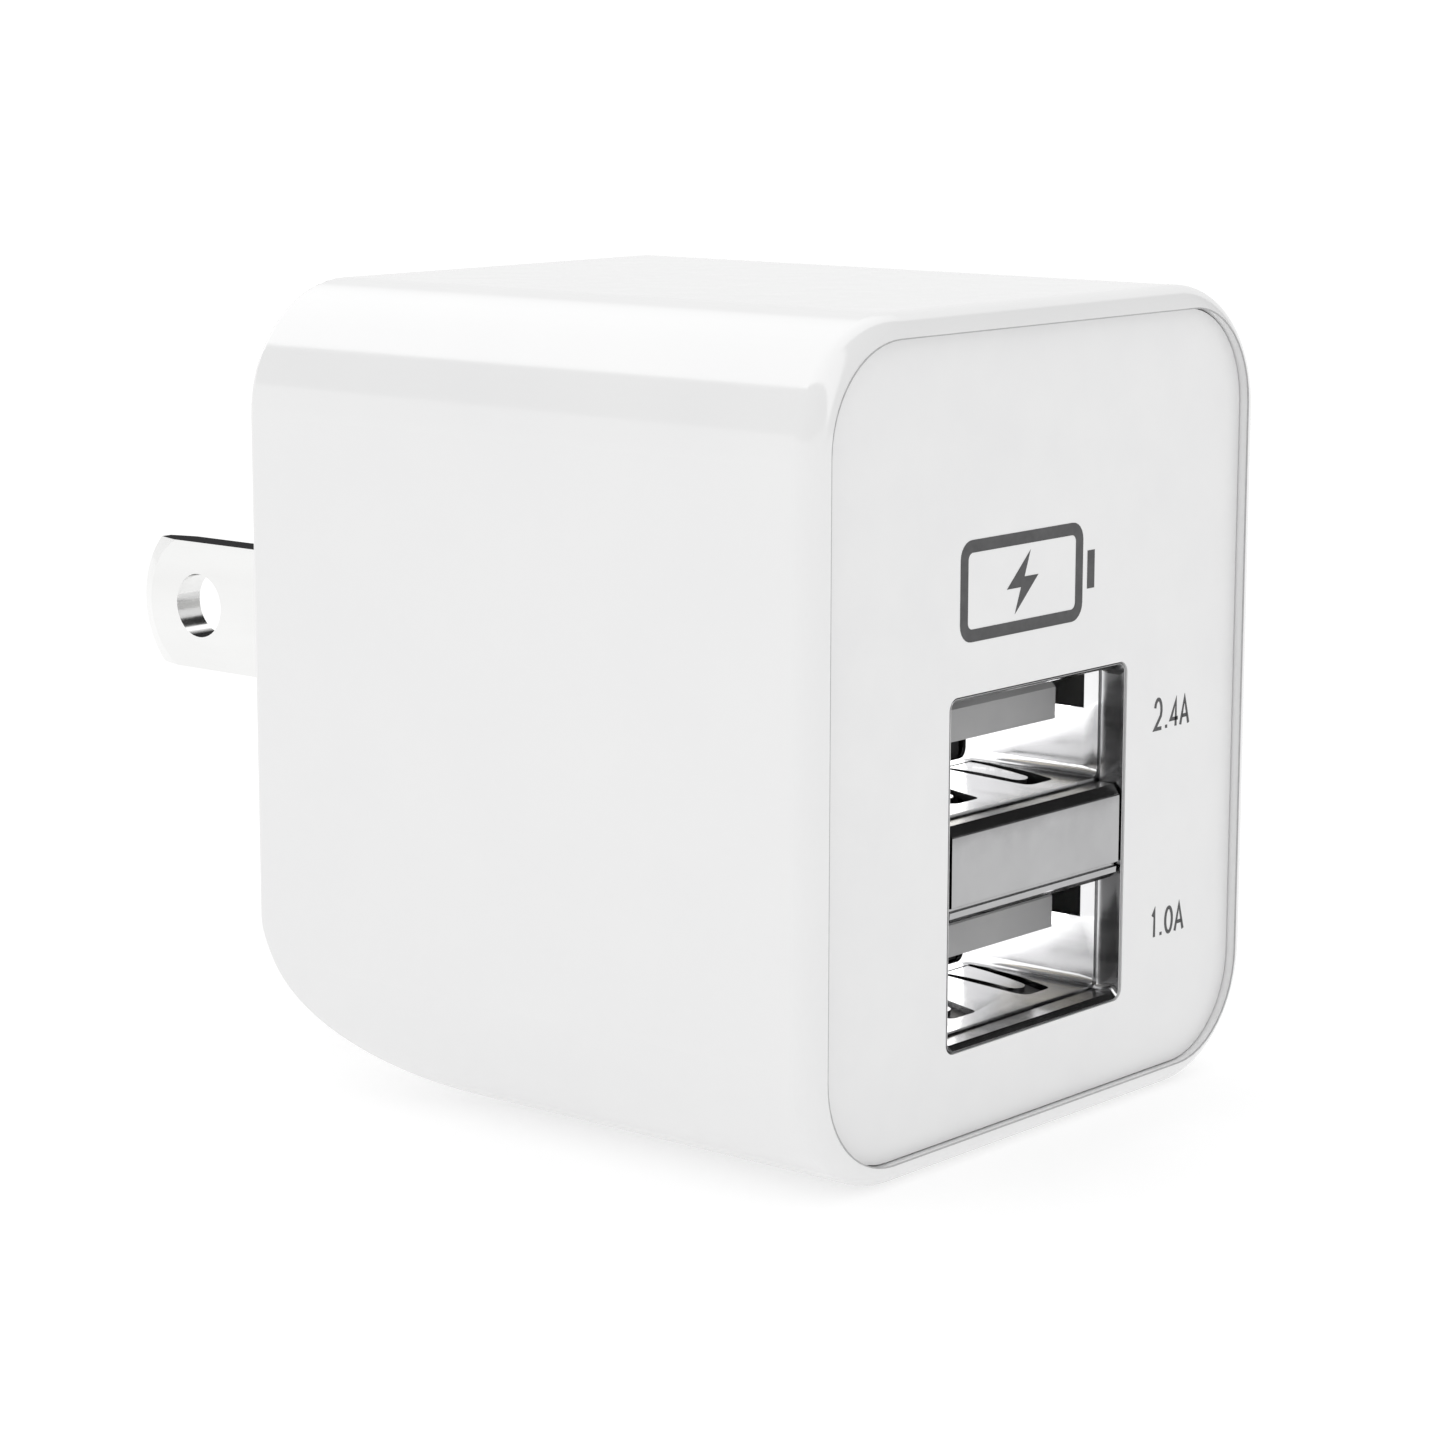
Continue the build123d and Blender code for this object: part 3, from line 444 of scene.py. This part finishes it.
def port_shell():
    """Stamped tin-plated shell: a folded tube with a widened mouth, side windows, fingers and legs."""
    bm = bmesh.new()
    low, high = floor_z[1], roof_z
    rings = []
    for depth, side, floor, roof in MOUTH_PROFILE:
        outline = rounded_rectangle(wall_x + side, low - floor, high + roof, 0.3 + side)
        rings.append([(x, MOUTH_Y + depth, z) for x, z in outline])
    outer = shell_high.x
    for depth, out, drop in OUTER_PROFILE:
        outline = rounded_rectangle(outer + out, low - SHEET - drop, high + SHEET + out, OUTER_R)
        rings.append([(x, MOUTH_Y + depth, z) for x, z in outline])
    loft(bm, rings, closed=True)
    shell = make_piece("port_shell", bm, TIN)

    cutters = bmesh.new()
    for floor in floor_z:
        middle = floor + PORT_H / 2
        block(cutters, (-outer - 1, outer + 1), [MOUTH_Y + d for d in WINDOW_DEPTH],
              [middle + h for h in WINDOW_HEIGHT])
    for shift in (0.0, SECOND_FINGER):
        finger_slot(cutters, shift, floor_z[1] - SHEET / 2)
        finger_slot(cutters, shift, roof_z + SHEET / 2)
    subtract(shell, cutters)

    extra = bmesh.new()
    extra.from_mesh(shell.data)
    for shift in (0.0, SECOND_FINGER):
        finger(extra, shift, floor_z[1])
        finger(extra, shift, roof_z, -1)
    for side in (-1, 1):
        corner_bead(extra, floor_z[1], side)
        for depth in LEG_DEPTHS:
            x = sorted((side * (wall_x + 0.01), side * (outer - 0.01)))
            y = (MOUTH_Y + depth - LEG_HALF, MOUTH_Y + depth + LEG_HALF)
            block(extra, x, y, (shell_low.z, floor_z[1] - 0.1))
    extra.to_mesh(shell.data)
    extra.free()
    shell.data.shade_smooth()
    shell.data.set_sharp_from_angle(angle=radians(35))
    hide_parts("usb_shell")


def port_divider():
    """Folded divider: floor of the upper port, rolled front web, roof of the lower port."""
    top, low = divider_high.z, divider_low.z
    rear, front = divider_high.y, MOUTH_Y
    # floor, groove and lip of the upper port, as depth behind the mouth and drop below the floor
    upper = ((1.30, 0.0), (1.28, 0.18), (1.13, 0.20), (1.11, 0.15), (0.35, 0.17), (0.06, 0.57),
             (0.02, 0.60), (0.0, 0.65))
    # front web, its folded lower flange and the roof of the lower port, as depth and height over it
    lower = ((0.0, 0.90), (0.02, 0.87), (0.25, 0.82), (0.25, 0.66), (0.10, 0.64), (0.12, 0.38),
             (0.3, 0.28), (0.6, 0.03), (1.0, 0.0))
    # the hidden inside of the fold, first over the roof of the lower port, then below the floor
    fold = ((0.9, 0.3), (0.62, 0.7), (0.4, 1.05))
    inner_fold = ((0.4, 0.9), (0.6, 0.6), (1.4, 0.5), (1.5, SHEET))
    outer = [(rear, top)] + [(front + depth, top - drop) for depth, drop in upper]
    outer += [(front + depth, low + height) for depth, height in lower] + [(rear, low)]
    inner = [(rear, low + SHEET)] + [(front + depth, low + height) for depth, height in fold]
    inner += [(front + depth, top - drop) for depth, drop in inner_fold] + [(rear, top - SHEET)]
    half = divider_high.x + SHEET - SIDE_SHEET
    bm = bmesh.new()
    loft(bm, [[(x, y, z) for y, z in outer + inner] for x in (-half, half)])
    divider = make_piece("port_divider", bm, TIN, 30)

    cutters = bmesh.new()
    for shift in (0.0, SECOND_FINGER):
        finger_slot(cutters, shift, top - SHEET / 2)
        finger_slot(cutters, shift, low + SHEET / 2)
    subtract(divider, cutters)
    extra = bmesh.new()
    extra.from_mesh(divider.data)
    for shift in (0.0, SECOND_FINGER):
        finger(extra, shift, top)
        finger(extra, shift, low, -1)
    for side in (-1, 1):
        corner_bead(extra, top, side)
    extra.to_mesh(divider.data)
    extra.free()
    divider.data.shade_smooth()
    divider.data.set_sharp_from_angle(angle=radians(30))
    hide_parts("usb_divider")


def slot_shade_sheet():
    """Black film between the metal shell and the board: painted shade, seen through the lower port's
    slots.
    """
    half, front, gap, thick = wall_x - 0.2, MOUTH_Y + 1.8, 0.004, 0.024
    top = floor_z[1] - SHEET - gap
    bm = bmesh.new()
    block(bm, (-half, half), (front, MOUTH_Y + SOCKET_D), (top - thick, top))
    make_piece("slot_shade_sheet", bm, BLACK)


def contact_strips(level):
    """Four gold strips almost flush with the tongue's underside, with their tails to the board."""
    low, high = limits("usb_contacts_" + level)
    under = limits("port_tongue_" + level)[0].z
    rear = MOUTH_Y + SOCKET_D
    proud, sunk = 0.03, 0.02        # how far a strip is below and inside the tongue
    thick, half, tail, inner_x, overlap = 0.25, 0.5, 0.3, 1.0, 0.1
    bm = bmesh.new()
    for side in (-1, 1):
        for x in (side * inner_x, side * (high.x - half)):
            block(bm, (x - half, x + half), (low.y, rear + 2 * overlap), (under - proud, under + sunk))
            block(bm, (x - half, x + half), (rear + overlap, high.y), (under - thick, under))
            block(bm, (x - tail, x + tail), (high.y - thick, high.y), (low.z, under))
    strips = make_piece("contact_strips_" + level, bm, GOLD)
    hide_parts("usb_contacts_" + level)


port_shell()
port_divider()
slot_shade_sheet()
contact_strips("upper")
contact_strips("lower")


# ---------------------------------------------------------------- painted shade of the front panel's seam

SEAM_GAP, SEAM_R = 0.07, 4.6     # from the panel's edge to the rim, and the rim's corner radius


def seam_shade_line():
    """Fine grey line that paints the shade in the gap between the housing's rim and the front panel."""
    rim_y = limits("main_shell")[0].y
    front, rear, width = 0.006, 0.06, 0.055
    rings = []
    for depth, inset in ((front, 0.0), (rear, 0.0), (rear, width), (front, width)):
        out = SEAM_GAP - inset
        outline = rounded_rectangle(panel_high.x + out, panel_low.z - out, panel_high.z + out,
                                    SEAM_R - inset, 12)
        rings.append([(x, rim_y + depth, z) for x, z in outline])
    bm = bmesh.new()
    loft(bm, rings, closed=True)
    make_piece("seam_shade_line", bm, GREY)


seam_shade_line()


# ---------------------------------------------------------------- printed marks

INK_T = 0.012           # thickness of the print


def printed(name, outlines):
    """Thin raised print on the front panel; each outline is a closed list of (x, z) in mm."""
    bm = bmesh.new()
    y = panel_low.y
    for outline in outlines:
        loft(bm, [[(x, level, z) for x, z in outline] for level in (y - INK_T, y + INK_T / 2)])
    return make_piece(name, bm, INK, 60)


def stroke(points, width):
    """Outline of an open line of the given width, with mitred corners."""
    pts = [Vector(p) for p in points]
    left, right = [], []
    for i, p in enumerate(pts):
        before = (p - pts[i - 1]).normalized() if i else None
        after = (pts[i + 1] - p).normalized() if i + 1 < len(pts) else None
        along = ((before or after) + (after or before)).normalized()
        normal = Vector((-along.y, along.x))
        stretch = 1 / max(0.4, normal.dot(Vector((-(before or after).y, (before or after).x))))
        left.append(p + normal * width / 2 * stretch)
        right.append(p - normal * width / 2 * stretch)
    return [tuple(p) for p in left + right[::-1]]


def digit_outlines(text, x, z, height, width):
    """Simple upright figures made of strokes, centred on x and z."""
    w, h, t = 0.50 * height, height, width
    gap = 0.16 * height
    curve = arc((0.5, 0.72), 0.42, 165, 0, 10)[:-1]
    # each figure's strokes, as parts of its width and height, and its advance as a part of w
    shapes = {
        "1": ([[(0.16, 0.80), (0.42, 1.0), (0.42, 0.0)]], 0.72),
        "2": ([curve + [(0.92, 0.68), (0.84, 0.50), (0.08, 0.04), (0.95, 0.04)]], 1.0),
        "4": ([[(0.72, 0.0), (0.72, 0.96), (0.06, 0.28), (1.0, 0.28)]], 1.0),
        "0": ([], 1.0),
        ".": ([[(0.25, 0.0), (0.25, 0.12)]], 0.46),
        "A": ([[(0.02, 0.0), (0.55, 0.98), (1.08, 0.0)], [(0.26, 0.32), (0.84, 0.32)]], 1.12),
    }
    total = sum(shapes[c][1] * w for c in text) + gap * (len(text) - 1)
    start = x - total / 2
    outlines = []
    for c in text:
        strokes, advance = shapes[c]
        for points in strokes:
            placed = [(start + a * w, z - h / 2 + b * h) for a, b in points]
            outlines.append(stroke(placed, t))
        if c == "0":
            for first, second in ((90, 270), (270, 450)):
                ring = [(start + w * (0.5 + 0.44 * cos(radians(a))), z + h * 0.47 * sin(radians(a)))
                        for a in range(first, second + 1, 15)]
                outlines.append(stroke(ring, t))
        start += advance * w + gap
    return outlines


RATING_X, FIGURE_H, FIGURE_LINE = 10.3, 1.24, 0.17
for label, text, floor in (("rating_upper", "2.4A", floor_z[0]), ("rating_lower", "1.0A", floor_z[1])):
    printed(label, digit_outlines(text, RATING_X, floor + PORT_H / 2, FIGURE_H, FIGURE_LINE))


def battery_mark():
    """Plain battery outline with a bolt, above the ports."""
    x, z, width, height, line, corner = -1.5, 5.0, 9.0, 4.4, 0.55, 0.8
    outlines = []
    outer = rounded_rectangle(width / 2, -height / 2, height / 2, corner)
    inner = rounded_rectangle(width / 2 - line, line - height / 2, height / 2 - line,
                              corner - line * 0.9)
    for i in range(len(outer)):
        j = (i + 1) % len(outer)
        outlines.append([outer[i], outer[j], inner[j], inner[i]])
    near, far, half = width / 2 + 0.35, width / 2 + 0.9, 0.85
    outlines.append([(near, -half), (far, -half), (far, half), (near, half)])
    outlines.append([(0.55, 1.35), (-1.15, -0.22), (-0.12, -0.22), (-0.55, -1.35), (1.15, 0.22),
                     (0.12, 0.22)])
    return printed("battery_mark", [[(a + x, b + z) for a, b in outline] for outline in outlines])


battery_mark()


# ---------------------------------------------------------------- stage, light and camera

FLOOR_GREY, FLOOR_GLOW = 0.55, 0.50
FLOOR_HALF, FLOOR_GAP = 60.0, 0.02 * MM         # in metres, and how far it is below the charger


def make_floor():
    """Plain pale ground under the charger."""
    mat, shader = new_material("floor_white", {
        "Base Color": (FLOOR_GREY, FLOOR_GREY, FLOOR_GREY, 1),
        "Roughness": 0.9,
        "Specular IOR Level": 0.0,
        "Emission Color": (1, 1, 1, 1),
        "Emission Strength": FLOOR_GLOW,
    })
    speckle = grain(mat, 4.0)
    mat.node_tree.links.new(remap(mat, speckle, 0.86, 0.92), shader.inputs["Roughness"])
    bm = bmesh.new()
    bmesh.ops.create_grid(bm, x_segments=8, y_segments=8, size=FLOOR_HALF)
    mesh = bpy.data.meshes.new("floor")
    bm.to_mesh(mesh)
    bm.free()
    mesh.materials.append(mat)
    floor = bpy.data.objects.new("floor", mesh)
    floor.location.z = cad_box[0].z - FLOOR_GAP
    bpy.context.scene.collection.objects.link(floor)


SKY, SKY_UP, SKY_BACK = 0.80, 0.42, 0.15
HAZE, HAZE_TOP = 1.02, (0.03, 0.12)             # white horizon and the heights over which it fades
SOFTBOX, WALL_GLOSS, RIGHT_GLOSS, FRONT_GLOSS = (2.7, 1.10), 0.20, 0.88, 0.03
BOX_LEFT, BOX_RIGHT = 0.637, 1.29               # slopes of the softbox's edges, as x to z
LEFT_WALL_FOOT, RIGHT_WALL_FOOT = 0.24, 0.05    # heights of the walls' feet, as z of a unit direction


def make_world():
    """Soft white studio: even for matt surfaces, an overhead softbox and dark walls in gloss."""
    world = bpy.data.worlds.new("studio")
    world.use_nodes = True
    bpy.context.scene.world = world
    tree = world.node_tree
    background = tree.nodes["Background"]
    background.inputs["Color"].default_value = (1, 1, 1, 1)
    place = add_node(world, "ShaderNodeTexCoord")
    split = add_node(world, "ShaderNodeSeparateXYZ", {"Vector": place.outputs["Generated"]})
    x, y, z = (split.outputs[i] for i in range(3))

    def combine(operation, a, b):
        node = add_node(world, "ShaderNodeMath", {0: a, 1: b}, operation=operation)
        return node.outputs[0]

    def step(value, edge, width):
        return remap(world, value, 0.0, 1.0, (edge - width, edge + width))

    # even light, a little stronger from above and from behind the charger
    sky = combine("ADD", combine("MULTIPLY", z, SKY_UP), combine("MULTIPLY", y, SKY_BACK))
    even = combine("MAXIMUM", combine("ADD", sky, SKY), remap(world, z, HAZE, 0.0, HAZE_TOP))
    # overhead softbox between two lines along Y, brighter towards -X; a dark wall left of it, a pale
    # one right and behind, and a dark one right and in front
    left_edge = step(combine("ADD", x, combine("MULTIPLY", z, BOX_LEFT)), 0.0, 0.01)
    right_edge = step(combine("SUBTRACT", combine("MULTIPLY", z, BOX_RIGHT), x), 0.0, 0.03)
    across = combine("DIVIDE", x, combine("MAXIMUM", z, 0.01))
    panel = remap(world, across, SOFTBOX[0], SOFTBOX[1], (-BOX_LEFT, BOX_RIGHT))
    on_right = step(x, 0.0, 0.05)

    def choose(factor, first, second):
        node = add_node(world, "ShaderNodeMix", {0: factor, 2: first, 3: second}, data_type="FLOAT")
        return node.outputs[0]

    above = choose(right_edge, RIGHT_GLOSS, choose(left_edge, WALL_GLOSS, panel))
    front_right = combine("MULTIPLY", on_right, step(combine("MULTIPLY", y, -1.0), 0.05, 0.03))
    above = choose(front_right, above, FRONT_GLOSS)
    high = step(combine("SUBTRACT", z, choose(on_right, LEFT_WALL_FOOT, RIGHT_WALL_FOOT)), 0.0, 0.01)
    gloss = choose(high, 1.0, above)
    paths = add_node(world, "ShaderNodeLightPath")
    mix = add_node(world, "ShaderNodeMix", data_type="FLOAT")
    tree.links.new(paths.outputs["Is Glossy Ray"], mix.inputs[0])
    tree.links.new(even, mix.inputs[2])
    tree.links.new(gloss, mix.inputs[3])
    tree.links.new(mix.outputs[0], background.inputs["Strength"])
    world.cycles.sampling_method = "NONE"


LIGHT_SPREAD = radians(124)
BACK_RADIANCE, SIDE_RADIANCE = 5.3, 4.0


def port_light(x, depth, z, away, radiance):
    """Small fill light inside a port that shines opposite to away."""
    width, height = (x[1] - x[0] + depth[1] - depth[0]) * MM, (z[1] - z[0]) * MM
    data = bpy.data.lights.new("port_light", "AREA")
    data.shape, data.size, data.size_y = "RECTANGLE", width, height
    data.energy, data.spread = radiance * pi * width * height, LIGHT_SPREAD
    lamp = bpy.data.objects.new("port_light", data)
    lamp.location = Vector((sum(x) / 2, MOUTH_Y + sum(depth) / 2, sum(z) / 2)) * MM
    lamp.rotation_mode = "QUATERNION"
    lamp.rotation_quaternion = Vector(away).to_track_quat("Z", "Y")
    lamp.visible_camera = False
    bpy.context.scene.collection.objects.link(lamp)


def light_ports():
    """Lights across the back of each port, before its tongue's right end and beside the tongue."""
    under = tongue_low.z - floor_z[0]
    back, front = SOCKET_D - 0.3, TONGUE_SET - 0.15
    front_x, beside = 2.4, tongue_high.x + 0.03
    patch = (TONGUE_SET + 0.2, TONGUE_SET + 2.0)
    for floor in floor_z:
        roof, level = floor + PORT_H, floor + under
        port_light((-wall_x, wall_x), (back, back), (floor, roof), (0, 1, 0), BACK_RADIANCE)
        port_light((front_x, wall_x), (front, front), (level, roof), (0, 1, 0), SIDE_RADIANCE)
        port_light((beside, beside), patch, (level - 0.3, level + 0.4), (-1, 0, 0), SIDE_RADIANCE)


VIEW_AZIMUTH, VIEW_ELEVATION, VIEW_ROLL = -49.921, 10.40, 0.0687    # in degrees
VIEW_DISTANCE, LENS = 183.53 * MM, 98.66                            # lens in mm on a 36 mm sensor
AIM_OFFSET = Vector((-1.34, 1.07, -1.81)) * MM


def make_camera():
    """Long lens looking down a little on the charger's left front corner."""
    low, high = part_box("main_shell")
    a, e = radians(VIEW_AZIMUTH), radians(VIEW_ELEVATION)
    back = Vector((sin(a) * cos(e), -cos(a) * cos(e), sin(e)))
    data = bpy.data.cameras.new("camera")
    data.lens, data.sensor_width = LENS, 36.0
    data.clip_start, data.clip_end = 0.01, 200.0
    camera = bpy.data.objects.new("camera", data)
    camera.location = (low + high) / 2 + AIM_OFFSET + back * VIEW_DISTANCE
    camera.rotation_mode = "QUATERNION"
    level = (-back).to_track_quat("-Z", "Y")
    camera.rotation_quaternion = level @ Quaternion((0, 0, 1), radians(VIEW_ROLL))
    bpy.context.scene.collection.objects.link(camera)
    bpy.context.scene.camera = camera


make_floor()
make_world()
light_ports()
make_camera()
bpy.context.scene.view_settings.view_transform = "Standard"
